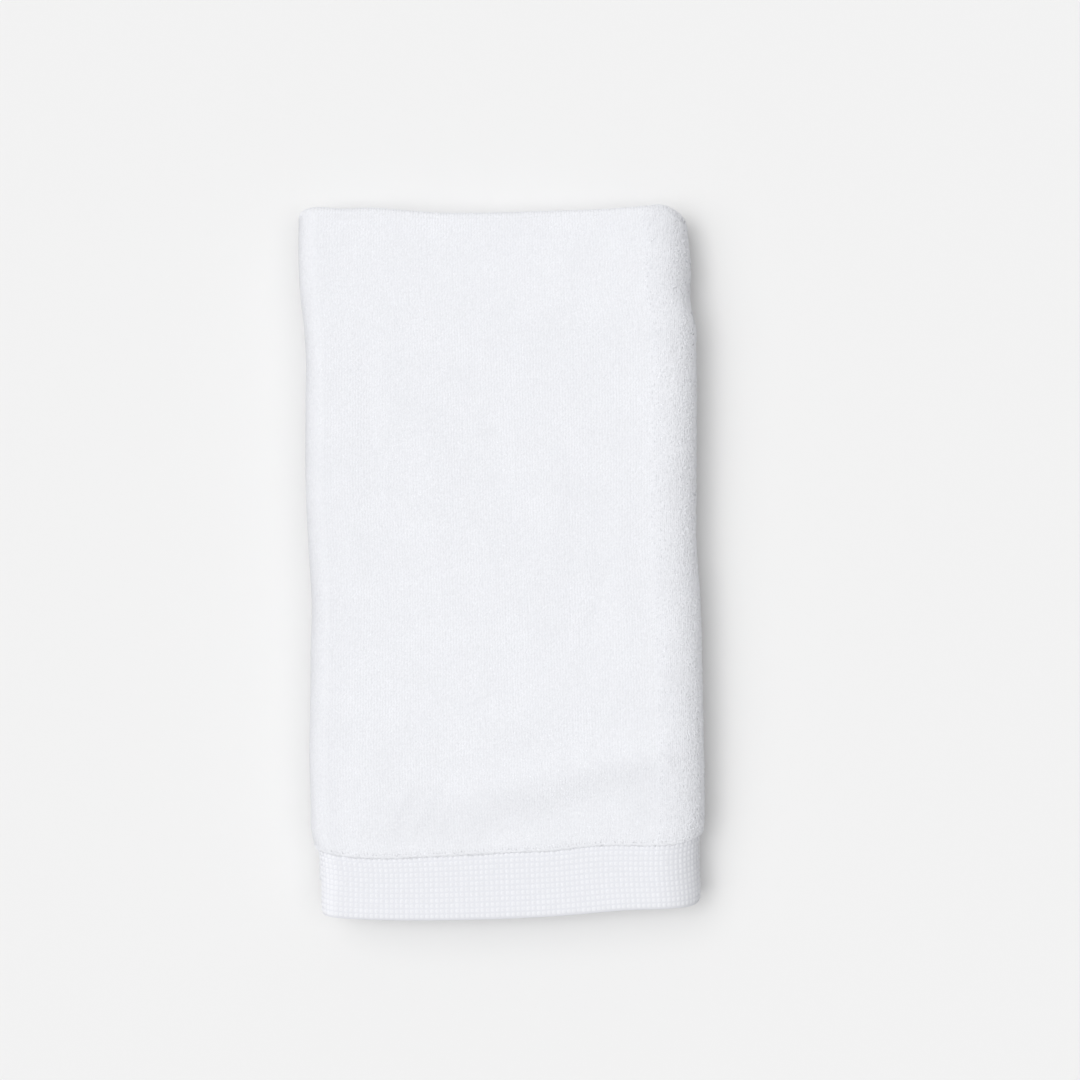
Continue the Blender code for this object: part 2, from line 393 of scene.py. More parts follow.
def across(section, part, offset):
    """x, z and the outward normal of the strip's middle ply, part way over a section."""
    flat = np.zeros_like(part)
    if section == "left flap":
        return LEFT_FOLD_X + flap_lengths(offset)[0] * (1 - part), flat + MIDDLE_LEVEL, flat, flat - 1
    if section == "right flap":
        return RIGHT_FOLD_X - flap_lengths(offset)[1] * part, flat + BOTTOM_LEVEL, flat, flat - 1
    if section == "top":
        return LEFT_FOLD_X + (RIGHT_FOLD_X - LEFT_FOLD_X) * part, flat + TOP_LEVEL, flat, flat + 1
    if section == "left fold":
        turn = math.pi * (1 - part)
        x = LEFT_FOLD_X - LEFT_TURN * np.sin(turn)
        return x, MIDDLE_LEVEL + LEFT_TURN * (1 + np.cos(turn)), -np.sin(turn), np.cos(turn)
    turn = np.interp(part, RIGHT_SHARES, RIGHT_TURNS)
    return (*right_fold_point(turn), np.sin(turn), np.cos(turn))


def along(section, part):
    """y, offset from the middle ply and the outer face's normal, part way along a section."""
    flat = np.zeros_like(part)
    if section == "border":
        curl = np.clip(1 - part / HEM_ROLL, 0, 1)
        offset = PLY_PITCH - BORDER_SINK * (1 - part) - HEM_DROOP * curl * curl
        slope = 2 * HEM_DROOP * curl / (HEM_ROLL * BORDER_LENGTH)
        size = np.hypot(1, slope)
        return HEM_Y + BORDER_LENGTH * part, offset, -slope / size, 1 / size
    if section == "top ply":
        return PILE_Y + (BACK_FOLD_Y - PILE_Y) * part, flat + PLY_PITCH, flat, flat + 1
    if section == "middle ply":
        return BACK_FOLD_Y + (FRONT_FOLD_Y - BACK_FOLD_Y) * part, flat, flat, flat - 1
    if section == "inner ply":
        return FRONT_FOLD_Y + (INNER_HEM_Y - FRONT_FOLD_Y) * part, flat - PLY_PITCH, flat, flat + 1
    turn = math.pi * part
    if section == "back fold":
        y = BACK_FOLD_Y + PLY_TURN * np.sin(turn)
        return y, PLY_TURN * (1 + np.cos(turn)), np.sin(turn), np.cos(turn)
    y = FRONT_FOLD_Y - PLY_TURN * np.sin(turn)
    return y, PLY_TURN * (np.cos(turn) - 1), np.sin(turn), -np.cos(turn)


def relief(table, x, y):
    """How far a table's ridges and troughs together stand up at a place."""
    rise = np.zeros_like(x)
    for centre_x, centre_y, length, width, turn, height in table:
        turn = math.radians(turn)
        east = x / MM - centre_x
        north = y / MM - centre_y
        lengthwise = (east * math.cos(turn) + north * math.sin(turn)) / length
        beside = (north * math.cos(turn) - east * math.sin(turn)) / width
        rise += height * MM * np.exp(-lengthwise * lengthwise - beside * beside)
    return rise


def swell(x, y, z):
    """How far the top ply stands up at a place: its swells, none of them near the folds, and the
    whole top strip's creases."""
    sides = ease(x, LEFT_FOLD_X, LEFT_FOLD_X + FADE) * ease(-x, -RIGHT_FOLD_X, FADE - RIGHT_FOLD_X)
    swells = relief(SWELLS, x, y) * sides * ease(-y, -BACK_FOLD_Y, FADE - BACK_FOLD_Y)
    creases = relief(CREASES, x, y) * ease(z, MIDDLE_LEVEL, TOP_LEVEL + PLY_TURN)
    return np.where(z > TOP_LEVEL + PLY_TURN, swells, 0.0) + creases


def settle(x, y, z):
    """Takes points of the neatly folded towel to where the soft, uneven one has them."""
    back = ease(y, INNER_PILE_Y, BACK_FOLD_Y)
    drop = sum(fall * MM * ease(z, low * MM, high * MM) for low, high, fall in BACK_DROPS)
    rise = swell(x, y, z)
    left_out = read_line(SIDE_LINES, y, 1) + FOLDED_WIDTH / 2
    lower = 1 - ease(z, BOTTOM_LEVEL, TOP_LEVEL)
    beside_pile = read_line(SIDE_LINES, np.maximum(y, PILE_Y + LOWER_REACH), 2)
    right_out = read_line(SIDE_LINES, y, 2) * (1 - lower) + beside_pile * lower - FOLDED_WIDTH / 2
    hem_out = read_line(END_LINES, x, 1) - HEM_Y
    back_out = read_line(END_LINES, x, 2) - FOLDED_LENGTH / 2
    pile_out = read_line(END_LINES, x, 3) - PILE_Y
    border_part = np.clip((PILE_Y - y) / BORDER_LENGTH, 0.0, 1.0)
    front = ease(-y, 0, -PILE_Y)
    lag = LOWER_LAG * front * (1 - ease(z, 0, TOP_LEVEL))
    sag = (FRONT_SAG + CORNER_SAG * (2 * x / FOLDED_WIDTH) ** 4) * ease(-y, SAG_LENGTH, -HEM_Y)
    settled_x = x + left_out * ease(-x, 0, -LEFT_FOLD_X) + right_out * ease(x, 0, RIGHT_FOLD_X)
    front_out = pile_out * front * (1 - border_part) + hem_out * border_part
    settled_y = y + front_out + back_out * ease(y, 0, BACK_FOLD_Y) + lag
    return np.stack((settled_x, settled_y, (z + rise - drop * back) * (1 - sag)), axis=-1)


def fold_point(column, column_part, row, row_part, lift):
    """Where a spot of the cloth lies, so far above the middle of its thickness."""
    y, offset, normal_y, normal_offset = along(row, row_part)
    x, z, out_x, out_z = across(column, column_part, offset)
    out = offset + lift * normal_offset
    return settle(x + out_x * out, y + lift * normal_y, z + out_z * out)


def stations(steps):
    """Each section's name and the parts of it that the mesh has points at, ends met once."""
    found = []
    for section, count in steps:
        found += [(section, k / count) for k in range(count)]
    return found + [(steps[-1][0], 1.0)]


def outer_lift(column, column_part, row):
    """How far the cloth's outer face stands over its middle: lower where loops stand on it."""
    if row == "border":
        return WOVEN
    if row in ("middle ply", "inner ply") or row == "top ply" and column == "right flap":
        return MATTED
    x = across(column, np.array(column_part), 0.0)[0]
    bed = BED + (OPEN_BED - BED) * float(ease(x, *OPENING))
    pressed = float(ease(column_part, *PRESSED)) if column == "right fold" else 0.0
    return bed + (MATTED - bed) * pressed


def new_mesh(name, points, faces, material):
    """A smooth-shaded object from rows of points and of corner numbers."""
    mesh = bpy.data.meshes.new(name)
    mesh.from_pydata(points.tolist(), [], faces.tolist())
    mesh.shade_smooth()
    mesh.materials.append(material)
    piece = bpy.data.objects.new(name, mesh)
    bpy.context.scene.collection.objects.link(piece)
    return piece


def grid_faces(rows, columns, first):
    """Quads over a grid of numbered points."""
    corner = first + np.arange((rows - 1) * columns).reshape(rows - 1, columns)[:, :-1].ravel()
    return np.stack((corner, corner + 1, corner + columns + 1, corner + columns), axis=-1)


def make_cloth(material, woven):
    """The whole cloth from hem to hem as one thin closed sheet on the solid's folds, with the
    border's face woven flat."""
    columns, rows = stations(ACROSS_STEPS), stations(ALONG_STEPS)
    columns.insert(1, ("left flap", FLAP_END))
    columns.insert(-1, ("right flap", 1 - FLAP_END))
    rows.insert(1, ("border", HEM_END))
    border_rows = dict(ALONG_STEPS)["border"] + 1
    rows.insert(border_rows, ("border", PILE_STEP))
    thin = np.ones((len(rows), len(columns)))
    thin[:, (0, -1)] = thin[0] = EDGE_THICKNESS
    sheets = np.zeros((2, len(rows), len(columns), 3))
    for j, (row, row_part) in enumerate(rows):
        underside = -LINING if row == "border" else -MATTED
        for column, _ in ACROSS_STEPS:
            picked = [i for i, (name, _) in enumerate(columns) if name == column]
            parts = np.array([columns[i][1] for i in picked])
            lifts = np.array([outer_lift(column, part, row) for part in parts]) * thin[j, picked]
            row_parts = np.full(len(parts), row_part)
            sheets[0, j, picked] = fold_point(column, parts, row, row_parts, lifts)
            sheets[1, j, picked] = fold_point(column, parts, row, row_parts, underside * thin[j, picked])
    count = len(rows) * len(columns)
    outer = grid_faces(len(rows), len(columns), 0)
    inner = grid_faces(len(rows), len(columns), count)[:, ::-1]
    numbers = np.arange(count).reshape(len(rows), len(columns))
    rim = np.concatenate((numbers[0], numbers[1:, -1], numbers[-1, -2::-1], numbers[-2:0:-1, 0]))
    after = np.roll(rim, -1)
    edge = np.stack((after, rim, rim + count, after + count), axis=-1)
    faces = np.concatenate((outer, inner, edge))
    cloth = new_mesh("folded_cloth", sheets.reshape(-1, 3), faces, material)
    cloth.data.materials.append(woven)
    faces_woven = faces.max(axis=-1) < (border_rows + 1) * len(columns)
    cloth.data.polygons.foreach_set("material_index", faces_woven.astype(np.int32))
    return cloth


def linear(hex_colour):
    """An sRGB hex colour as linear red, green, blue and alpha."""
    values = [int(hex_colour[k:k + 2], 16) / 255 for k in (1, 3, 5)]
    return (*[v / 12.92 if v <= 0.04045 else ((v + 0.055) / 1.055) ** 2.4 for v in values], 1.0)


def add_node(tree, kind, settings=(), inputs=(), links=()):
    """Adds a node with its settings, its input values and the sockets that feed it."""
    node = tree.nodes.new(kind)
    for key, value in dict(settings).items():
        setattr(node, key, value)
    for key, value in dict(inputs).items():
        node.inputs[key].default_value = value
    for key, source in dict(links).items():
        tree.links.new(source, node.inputs[key])
    return node


def new_material(name):
    """A material with an empty Principled shader, and that shader."""
    material = bpy.data.materials.new(name)
    material.use_nodes = True
    return material, material.node_tree, material.node_tree.nodes["Principled BSDF"]


def terry_loops():
    """Looped cotton terry: bleached, soft-spun yarn. The eye gets matt, faintly cool white with a
    small change from loop to loop, painted shade (and a little painted light) from the pile's
    painted shade marks and a pale bloom where loops are seen edge on. The yarn's twist is drawn
    as bumps 0.6 mm across, coarser than real so that they show."""
    material, tree, finish = new_material("looped_cotton_terry")
    tuft = add_node(tree, "ShaderNodeAttribute", {"attribute_name": "tuft"})
    painted_shade = add_node(tree, "ShaderNodeAttribute", {"attribute_name": "painted_shade"})
    place = add_node(tree, "ShaderNodeTexCoord")
    patch = add_node(
        tree, "ShaderNodeTexNoise", inputs={"Scale": 1 / (30 * MM), "Detail": 2.0},
        links={"Vector": place.outputs["Object"]},
    )
    mixed = add_node(
        tree, "ShaderNodeMath", {"operation": "MULTIPLY_ADD"}, {1: 0.5},
        {0: tuft.outputs["Fac"], 2: patch.outputs["Fac"]},
    )
    # Takes the painted shade marks off the colour: painted shade, and painted light where a mark goes
    # below nothing
    shaded = add_node(
        tree, "ShaderNodeMath", {"operation": "SUBTRACT"},
        links={0: mixed.outputs[0], 1: painted_shade.outputs["Fac"]},
    )
    colour = add_node(
        tree, "ShaderNodeMapRange", {"data_type": "FLOAT_VECTOR", "clamp": False},
        {"From Min": (0.3,) * 3, "From Max": (1.1,) * 3},
    )
    colour.inputs["To Min"].default_value = linear("#e5e6ea")[:3]
    colour.inputs["To Max"].default_value = linear("#ecedf1")[:3]
    tree.links.new(shaded.outputs[0], colour.inputs["Vector"])
    tree.links.new(colour.outputs["Vector"], finish.inputs["Base Color"])
    twist = add_node(
        tree, "ShaderNodeTexNoise", inputs={"Scale": 1 / (0.6 * MM), "Detail": 2.0},
        links={"Vector": place.outputs["Object"]},
    )
    bump = add_node(
        tree, "ShaderNodeBump", inputs={"Strength": 0.4, "Distance": 0.2 * MM},
        links={"Height": twist.outputs["Fac"]},
    )
    tree.links.new(bump.outputs["Normal"], finish.inputs["Normal"])
    finish.inputs["Roughness"].default_value = 1.0
    finish.inputs["Specular IOR Level"].default_value = 0.2
    finish.inputs["Sheen Weight"].default_value = 0.15
    finish.inputs["Sheen Roughness"].default_value = 0.5
    return material


def terry_ground():
    """The terry's ground and its matted inner faces: the same yarn pressed flat. The eye gets soft knobs
    at the loops' own spacing, coloured darker towards their hollows as painted shade."""
    material, tree, finish = new_material("matted_cotton_terry")
    place = add_node(tree, "ShaderNodeTexCoord")
    knobs = add_node(
        tree, "ShaderNodeTexVoronoi", {"feature": "SMOOTH_F1"},
        {"Scale": 1 / LOOP_ALONG, "Smoothness": 0.6}, {"Vector": place.outputs["Object"]},
    )
    # Darker towards the hollows between knobs: painted shade
    colour = add_node(
        tree, "ShaderNodeMapRange", {"data_type": "FLOAT_VECTOR"}, {"From Max": (0.9,) * 3},
    )
    colour.inputs["To Min"].default_value = linear("#e6e7ea")[:3]
    colour.inputs["To Max"].default_value = linear("#dedfe3")[:3]
    tree.links.new(knobs.outputs["Distance"], colour.inputs["Vector"])
    tree.links.new(colour.outputs["Vector"], finish.inputs["Base Color"])
    bump = add_node(
        tree, "ShaderNodeBump", {"invert": True}, {"Strength": 0.4, "Distance": 0.6 * MM},
        {"Height": knobs.outputs["Distance"]},
    )
    tree.links.new(bump.outputs["Normal"], finish.inputs["Normal"])
    finish.inputs["Roughness"].default_value = 1.0
    finish.inputs["Specular IOR Level"].default_value = 0.2
    return material


def woven_ground():
    """The border's plain weave between its squares: the same cotton, tied down tight. Its colour is a
    little darker than the squares' as painted shade, so that the eye gets narrow, shaded grooves."""
    material, tree, finish = new_material("plain_woven_cotton_painted_shade")
    # Darker than the squares: painted shade in the grooves between them
    finish.inputs["Base Color"].default_value = linear("#dfe0e5")
    finish.inputs["Roughness"].default_value = 1.0
    finish.inputs["Specular IOR Level"].default_value = 0.2
    return material


def woven_squares():
    """Woven cotton dobby: smooth warp floats tied down in a square grid. The eye gets brighter,
    crisper white than the pile, with soft ribs along the warp, drawn a square apart because single
    threads are too fine to show. The bands repeat every 2 pi / 20 of their scale."""
    material, tree, finish = new_material("woven_cotton_dobby")
    place = add_node(tree, "ShaderNodeTexCoord")
    ribs = add_node(
        tree, "ShaderNodeTexWave", {"wave_type": "BANDS", "bands_direction": "X"},
        {"Scale": math.tau / (20 * RIB_SPACING), "Distortion": 1.5, "Detail": 1.0},
        {"Vector": place.outputs["Object"]},
    )
    tuft = add_node(tree, "ShaderNodeAttribute", {"attribute_name": "tuft"})
    colour = add_node(tree, "ShaderNodeMapRange", {"data_type": "FLOAT_VECTOR"})
    colour.inputs["To Min"].default_value = linear("#e5e6ea")[:3]
    colour.inputs["To Max"].default_value = linear("#e8e9ed")[:3]
    tree.links.new(tuft.outputs["Fac"], colour.inputs["Vector"])
    tree.links.new(colour.outputs["Vector"], finish.inputs["Base Color"])
    bump = add_node(
        tree, "ShaderNodeBump", inputs={"Strength": 0.3, "Distance": 0.15 * MM},
        links={"Height": ribs.outputs["Fac"]},
    )
    tree.links.new(bump.outputs["Normal"], finish.inputs["Normal"])
    finish.inputs["Roughness"].default_value = 0.85
    finish.inputs["Specular IOR Level"].default_value = 0.3
    return material


def new_tree(name, sizes):
    """An empty Geometry Nodes tree with a named input for each size, and its two end nodes."""
    tree = bpy.data.node_groups.new(name, "GeometryNodeTree")
    tree.interface.new_socket("Geometry", in_out="INPUT", socket_type="NodeSocketGeometry")
    for label, value in sizes.items():
        kind = "NodeSocketInt" if isinstance(value, int) else "NodeSocketFloat"
        tree.interface.new_socket(label, in_out="INPUT", socket_type=kind).default_value = value
    tree.interface.new_socket("Geometry", in_out="OUTPUT", socket_type="NodeSocketGeometry")
    return tree, tree.nodes.new("NodeGroupInput").outputs, tree.nodes.new("NodeGroupOutput")


def stand_on_points(tree, given, shape, turned, grown, material, end):
    """Sets a shape on every given point, outward and along the cloth, and makes the copies real."""
    kind = {"data_type": "FLOAT_VECTOR"}
    outward = add_node(tree, "GeometryNodeInputNamedAttribute", kind, {"Name": "outward"})
    warp = add_node(tree, "GeometryNodeInputNamedAttribute", kind, {"Name": "warp"})
    facing = add_node(
        tree, "FunctionNodeAxesToRotation", {"primary_axis": "Z", "secondary_axis": "Y"},
        links={"Primary Axis": outward.outputs[0], "Secondary Axis": warp.outputs[0]},
    )
    rotation = add_node(
        tree, "FunctionNodeRotateRotation", {"rotation_space": "LOCAL"},
        links={"Rotation": facing.outputs[0], "Rotate By": turned.outputs[0]},
    )
    copies = add_node(
        tree, "GeometryNodeInstanceOnPoints",
        links={
            "Points": given["Geometry"],
            "Instance": shape.outputs[0],
            "Rotation": rotation.outputs[0],
            "Scale": grown.outputs[0],
        },
    )
    shade = add_node(
        tree, "FunctionNodeRandomValue", {"data_type": "FLOAT"}, links={"Seed": given["Seed"]}
    )
    named = add_node(
        tree, "GeometryNodeStoreNamedAttribute", {"data_type": "FLOAT", "domain": "INSTANCE"},
        {"Name": "tuft"}, {"Geometry": copies.outputs[0], "Value": shade.outputs[1]},
    )
    real = add_node(tree, "GeometryNodeRealizeInstances", links={"Geometry": named.outputs[0]})
    faced = add_node(
        tree, "GeometryNodeSetMaterial", inputs={"Material": material},
        links={"Geometry": real.outputs[0]},
    )
    tree.links.new(faced.outputs[0], end.inputs[0])


def loop_tree(material):
    """A yarn loop on every point: a low arch along the warp, each one leaning its own way."""
    sizes = {
        **FLAT_LOOPS,
        "Span": 2.0 * MM,
        "Root": 0.5 * MM,
        "Yarn radius": 0.74 * MM,
        "Yarn points": 3,
        "Wrap": math.pi,
        "Seed": SEED,
    }
    tree, given, end = new_tree("terry_loops", sizes)
    back = add_node(tree, "ShaderNodeMath", {"operation": "MULTIPLY"}, {1: -0.5}, {0: given["Span"]})
    ahead = add_node(tree, "ShaderNodeMath", {"operation": "MULTIPLY"}, {1: 0.5}, {0: given["Span"]})
    peak = add_node(
        tree, "ShaderNodeMath", {"operation": "MULTIPLY_ADD"}, {1: 2.0},
        {0: given["Height"], 2: given["Root"]},
    )
    aside = add_node(tree, "ShaderNodeMath", {"operation": "MULTIPLY"}, {1: -1.0}, {0: given["Twist"]})
    under = add_node(tree, "ShaderNodeMath", {"operation": "MULTIPLY"}, {1: -1.0}, {0: given["Root"]})
    near = {"X": aside.outputs[0], "Y": back.outputs[0], "Z": under.outputs[0]}
    far = {"X": given["Twist"], "Y": ahead.outputs[0], "Z": under.outputs[0]}
    start = add_node(tree, "ShaderNodeCombineXYZ", links=near)
    middle = add_node(tree, "ShaderNodeCombineXYZ", links={"Z": peak.outputs[0]})
    finish = add_node(tree, "ShaderNodeCombineXYZ", links=far)
    arch = add_node(
        tree, "GeometryNodeCurveQuadraticBezier", inputs={"Resolution": 3},
        links={"Start": start.outputs[0], "Middle": middle.outputs[0], "End": finish.outputs[0]},
    )
    begun = add_node(
        tree, "ShaderNodeMath", {"operation": "MULTIPLY_ADD"}, {1: -0.5, 2: 1.5 * math.pi},
        {0: given["Wrap"]},
    )
    yarn = add_node(
        tree, "GeometryNodeCurveArc",
        links={
            "Resolution": given["Yarn points"],
            "Radius": given["Yarn radius"],
            "Start Angle": begun.outputs[0],
            "Sweep Angle": given["Wrap"],
        },
    )
    loop = add_node(
        tree, "GeometryNodeCurveToMesh",
        links={"Curve": arch.outputs[0], "Profile Curve": yarn.outputs[0]},
    )
    most = {"X": given["Lean"], "Y": given["Lean"], "Z": given["Turn"]}
    high = add_node(tree, "ShaderNodeCombineXYZ", links=most)
    low = add_node(
        tree, "ShaderNodeVectorMath", {"operation": "SCALE"}, {"Scale": -1.0}, {0: high.outputs[0]}
    )
    turned = add_node(
        tree, "FunctionNodeRandomValue", {"data_type": "FLOAT_VECTOR"},
        links={"Min": low.outputs[0], "Max": high.outputs[0], "Seed": given["Seed"]},
    )
    grown = add_node(
        tree, "FunctionNodeRandomValue", {"data_type": "FLOAT_VECTOR"},
        {"Min": (0.9, 0.9, 0.85), "Max": (1.15, 1.2, 1.1)}, {"Seed": given["Seed"]},
    )
    stand_on_points(tree, given, loop, turned, grown, material, end)
    return tree


def square_tree(material):
    """A raised woven square on every point: a round-topped cushion."""
    sizes = {"Width": 3.3 * MM, "Length": 3.6 * MM, "Rise": 1.12 * MM, "Seed": SEED}
    tree, given, end = new_tree("woven_squares", sizes)
    patch = add_node(
        tree, "GeometryNodeMeshGrid", inputs={"Vertices X": 6, "Vertices Y": 6},
        links={"Size X": given["Width"], "Size Y": given["Length"]},
    )
    spot = add_node(tree, "GeometryNodeInputPosition")
    split = add_node(tree, "ShaderNodeSeparateXYZ", links={0: spot.outputs[0]})
    falls = []
    for axis, size in (("X", "Width"), ("Y", "Length")):
        share = add_node(
            tree, "ShaderNodeMath", {"operation": "DIVIDE"}, links={0: split.outputs[axis], 1: given[size]}
        )
        twice = add_node(
            tree, "ShaderNodeMath", {"operation": "MULTIPLY"}, {1: 2.0}, {0: share.outputs[0]}
        )
        away = add_node(tree, "ShaderNodeMath", {"operation": "ABSOLUTE"}, links={0: twice.outputs[0]})
        steep = add_node(tree, "ShaderNodeMath", {"operation": "POWER"}, {1: 2.0}, {0: away.outputs[0]})
        left = add_node(
            tree, "ShaderNodeMath", {"operation": "SUBTRACT"}, {0: 1.0}, {1: steep.outputs[0]}
        )
        falls.append(left.outputs[0])
    both = add_node(
        tree, "ShaderNodeMath", {"operation": "MULTIPLY"}, links={0: falls[0], 1: falls[1]}
    )
    height = add_node(
        tree, "ShaderNodeMath", {"operation": "MULTIPLY"}, links={0: both.outputs[0], 1: given["Rise"]}
    )
    up = add_node(tree, "ShaderNodeCombineXYZ", links={"Z": height.outputs[0]})
    cushion = add_node(
        tree, "GeometryNodeSetPosition", links={"Geometry": patch.outputs[0], "Offset": up.outputs[0]}
    )
    turned = add_node(
        tree, "FunctionNodeRandomValue", {"data_type": "FLOAT_VECTOR"},
        {"Min": (0.0, 0.0, -0.04), "Max": (0.0, 0.0, 0.04)}, {"Seed": given["Seed"]},
    )
    grown = add_node(
        tree, "FunctionNodeRandomValue", {"data_type": "FLOAT_VECTOR"},
        {"Min": (0.95, 0.95, 0.9), "Max": (1.02, 1.02, 1.1)}, {"Seed": given["Seed"]},
    )
    stand_on_points(tree, given, cushion, turned, grown, material, end)
    return tree


def soften(mesh, softness, sky):
    """Leans the shading of each copy towards the cloth's own outward direction, and a little
    towards the sky, as light that passes through soft yarn does."""
    own = np.empty(len(mesh.vertices) * 3, np.float32)
    outward = np.empty_like(own)
    mesh.vertex_normals.foreach_get("vector", own)
    mesh.attributes["outward"].data.foreach_get("vector", outward)
    mixed = (own * (1 - softness) + outward * softness).reshape(-1, 3) + (0.0, 0.0, sky)
    mixed /= np.linalg.norm(mixed, axis=-1, keepdims=True)
    for label in ("outward", "warp"):
        mesh.attributes.remove(mesh.attributes[label])
    mesh.normals_split_custom_set_from_vertices(mixed)


def grow(name, spots, tree, material, softness=0.0, sizes=(), sky=0.0):
    """Runs a tree on points given as places, outward normals and warp directions, with its own
    sizes if any, and keeps the result as a plain mesh."""
    places, outward, warp = spots
    mesh = bpy.data.meshes.new(name + "_points")
    mesh.from_pydata(places.tolist(), [], [])
    for label, values in (("outward", outward), ("warp", warp)):
        mesh.attributes.new(label, "FLOAT_VECTOR", "POINT").data.foreach_set("vector", values.ravel())
    # Each loop carries the painted shade marks read at its place, which darken its colour as painted shade
    if name.startswith("pile"):
        painted_shade = relief(PAINTED_SHADE_MARKS, places[:, 0], places[:, 1]) / MM
        mesh.attributes.new("painted_shade", "FLOAT", "POINT").data.foreach_set("value", painted_shade)
    points = bpy.data.objects.new(name + "_points", mesh)
    bpy.context.scene.collection.objects.link(points)
    growth = points.modifiers.new("grow", "NODES")
    growth.node_group = tree
    for item in tree.interface.items_tree:
        if item.name in dict(sizes):
            growth[item.identifier] = dict(sizes)[item.name]
    made = bpy.data.meshes.new_from_object(points.evaluated_get(bpy.context.evaluated_depsgraph_get()))
    bpy.data.objects.remove(points, do_unlink=True)
    made.name = name
    made.shade_smooth()
    soften(made, softness, sky)
    made.materials.clear()
    made.materials.append(material)
    made.polygons.foreach_set("material_index", np.zeros(len(made.polygons), np.int32))
    piece = bpy.data.objects.new(name, made)
    bpy.context.scene.collection.objects.link(piece)
    return piece


def cloth_spots(column, column_parts, row, row_parts, lift):
    """Places on the cloth with the outward normal and the warp direction at each."""
    up = 0.5 * MM
    on = 0.001
    here = fold_point(column, column_parts, row, row_parts, lift)
    above = fold_point(column, column_parts, row, row_parts, lift + up)
    onward = fold_point(column, column_parts, row, row_parts + on, lift)
    outward = above - here
    warp = onward - here
    outward /= np.linalg.norm(outward, axis=-1, keepdims=True)
    warp /= np.linalg.norm(warp, axis=-1, keepdims=True)
    return here, outward, warp


def pile_spots(column, width, row, length, lift, random):
    """Loop places over a stretch of cloth of this width and length, in lengthwise files that
    start unevenly, each loop strayed a little, and closer where the right fold opens the pile.
    None are where the cloth presses on the floor."""
    across_count = round(width / (OPEN_ACROSS if column == "right fold" else LOOP_ACROSS))
    along_count = max(round(length / LOOP_ALONG), 1)
    i, j = np.meshgrid(np.arange(across_count), np.arange(along_count))
    stray = random.uniform(-0.5, 0.5, (2, i.size))
    start = random.uniform(0, 1, across_count)[i.ravel()]
    column_parts = np.clip((i.ravel() + 0.5 + STRAY_ACROSS * stray[0]) / across_count, 0, 1)
    row_parts = np.clip((j.ravel() + start + STRAY_ALONG * stray[1]) / along_count, 0, LAST_PART)
    ruffle = RUFFLE if column == "right fold" else 0.0
    lifts = lift + ruffle * np.sign(lift) * random.uniform(0, 1, i.size) ** 2
    spots = cloth_spots(column, column_parts, row, row_parts, lifts)
    tips = spots[0][:, 2] + FLOOR_ROOM * np.minimum(spots[1][:, 2], 0.0)
    clear = (spots[1][:, 2] > FACING_DOWN) & (tips > FLOOR_ROOM)
    return [values[clear] for values in spots]


def pile_edge_spots(random):
    """Places round the pile's edge, where its last loops roll over on to the border."""
    found = []
    for column in ("left fold", "top", "right fold"):
        count = round(section_width(column, PLY_PITCH + GROUND) / EDGE_ACROSS)
        for turn in EDGE_TURNS:
            turn = math.radians(turn)
            parts = (np.arange(count) + 0.5 + random.uniform(-0.3, 0.3, count)) / count
            foot = np.full(count, WOVEN)
            here, outward, warp = cloth_spots(column, parts, "top ply", np.zeros(count), foot)
            reach = (GROUND - WOVEN) * random.uniform(0.6, 1.7, (count, 1))
            rolled = outward * math.cos(turn) - warp * math.sin(turn)
            found.append((here + rolled * reach, rolled, np.cross(outward, warp)))
    return [np.concatenate(values) for values in zip(*found)]


def selvedge_spots(random):
    """Places round both selvedges, where the pile of the two faces meets at the cloth's edge."""
    lengths = (
        ("top ply", BACK_FOLD_Y - PILE_Y),
        ("back fold", math.pi * PLY_TURN),
        ("middle ply", BACK_FOLD_Y - FRONT_FOLD_Y),
        ("front fold", math.pi * PLY_TURN),
        ("inner ply", INNER_HEM_Y - FRONT_FOLD_Y),
    )
    found = []
    for column, edge, inside in (("left flap", 0.0, FLAP_END), ("right flap", 1.0, 1 - FLAP_END)):
        for row, length in lengths:
            count = max(round(length / SELVEDGE_ALONG), 3)
            ends, middles = np.full(count, edge), np.zeros(count)
            for turn in SELVEDGE_TURNS:
                turn = math.radians(turn)
                row_parts = (np.arange(count) + random.uniform(0.1, 0.9, count)) / count * LAST_PART
                here, outward, warp = cloth_spots(column, ends, row, row_parts, middles)
                sideways = here - fold_point(column, np.full(count, inside), row, row_parts, middles)
                sideways /= np.linalg.norm(sideways, axis=-1, keepdims=True)
                rolled = sideways * math.cos(turn) + outward * math.sin(turn)
                found.append((here + rolled * SELVEDGE_REACH, rolled, warp))
    spots = [np.concatenate(values) for values in zip(*found)]
    clear = spots[0][:, 2] + FLOOR_ROOM * np.minimum(spots[1][:, 2], 0.0) > FLOOR_ROOM / 2
    return [values[clear] for values in spots]


def curl_spots(random):
    """Places of the few loops that stand out as curls along the right fold."""
    column_parts = random.uniform(*CURL_PARTS, CURL_COUNT)
    row_parts = random.uniform(0.0, LAST_PART, CURL_COUNT)
    return cloth_spots("right fold", column_parts, "top ply", row_parts, np.full(CURL_COUNT, GROUND))


def section_width(column, offset):
    """How much cloth a section takes across, at an offset from the middle ply."""
    left, right = flap_lengths(offset)
    widths = {
        "left flap": left,
        "left fold": math.pi * (LEFT_TURN + offset),
        "top": RIGHT_FOLD_X - LEFT_FOLD_X,
        "right fold": RIGHT_LENGTH + math.pi * offset,
        "right flap": right,
    }
    return widths[column]


